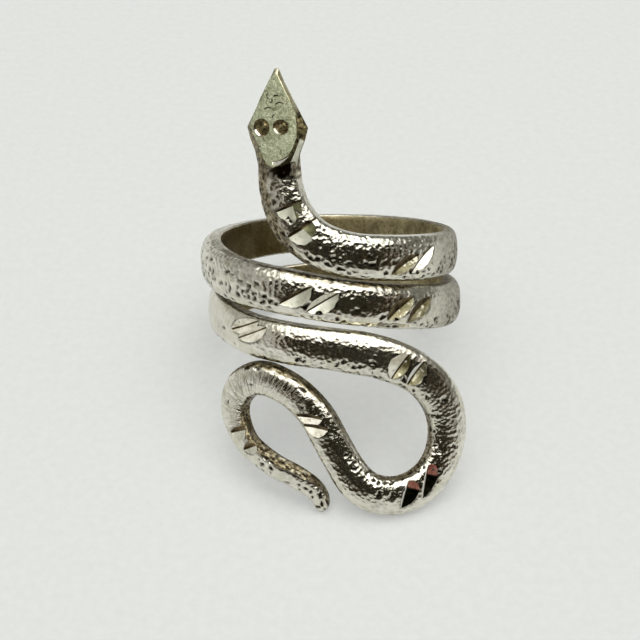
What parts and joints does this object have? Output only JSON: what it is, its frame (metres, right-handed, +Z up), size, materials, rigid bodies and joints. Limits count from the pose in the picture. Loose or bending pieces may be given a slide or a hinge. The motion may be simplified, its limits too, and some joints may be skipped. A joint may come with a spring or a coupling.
{
  "type": "snake ring",
  "caption": "Finger ring of half-round silver wire bent as a snake: flat kite-shaped head, body wound round the finger, tail in open loops.",
  "frame": {"origin": "middle of the ring's box, on the surface it rests on", "axes": "+X to the ring's right as seen from the head, +Y away from the viewer of the head, +Z up from the surface; the finger axis leans back 34.1 degrees from +Z towards +Y"},
  "size_m": [0.0208, 0.0278, 0.0268],
  "materials": {
    "silver": "polished and finely hammered silver, tarnished olive brown inside the coil and along its edges"
  },
  "bodies": {
    "root": {"snake_ring": "silver"}
  },
  "joints": []
}
